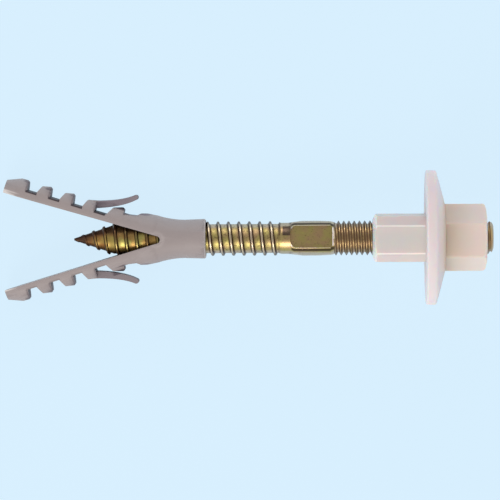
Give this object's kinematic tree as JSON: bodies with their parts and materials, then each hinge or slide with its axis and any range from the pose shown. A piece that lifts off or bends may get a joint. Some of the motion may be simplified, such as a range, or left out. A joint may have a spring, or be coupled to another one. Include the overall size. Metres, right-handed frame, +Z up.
{
  "type": "hanger bolt anchor with expansion plug and collar nut",
  "caption": "Sanitary fixing anchor: hanger bolt screwed into a split, toothed expansion plug, with a flanged collar nut on its machine thread.",
  "frame": {"origin": "middle of the footprint of the anchor as it lies at rest, on the surface it lies on", "axes": "+X along the anchor from the plug's legs to the nut, level; +Z up; the anchor's own axis leans up towards the nut by the angle at which the flange rim and the legs' noses both touch the surface; the legs spread along Y"},
  "size_m": [0.1398, 0.0384, 0.0384],
  "materials": {
    "plug_nylon": "matt grey nylon",
    "yellow_zinc": "steel with yellow zinc plating",
    "natural_nylon": "translucent natural white nylon, satin"
  },
  "bodies": {
    "plug": {"expansion_plug": "plug_nylon"},
    "bolt": {"hanger_bolt": "yellow_zinc"},
    "nut": {"collar_nut": "natural_nylon"}
  },
  "joints": [
    {"name": "bolt_turn", "type": "hinge", "parent": "plug", "child": "bolt", "pos_m": [-0.01218, 0, 0.01119], "axis": [0.9922, 0, 0.1248], "continuous": true},
    {"name": "nut_travel", "type": "slide", "parent": "bolt", "child": "nut", "axis": [0.9922, 0, 0.1248], "range_m": [-0.0105, 0.028]}
  ]
}
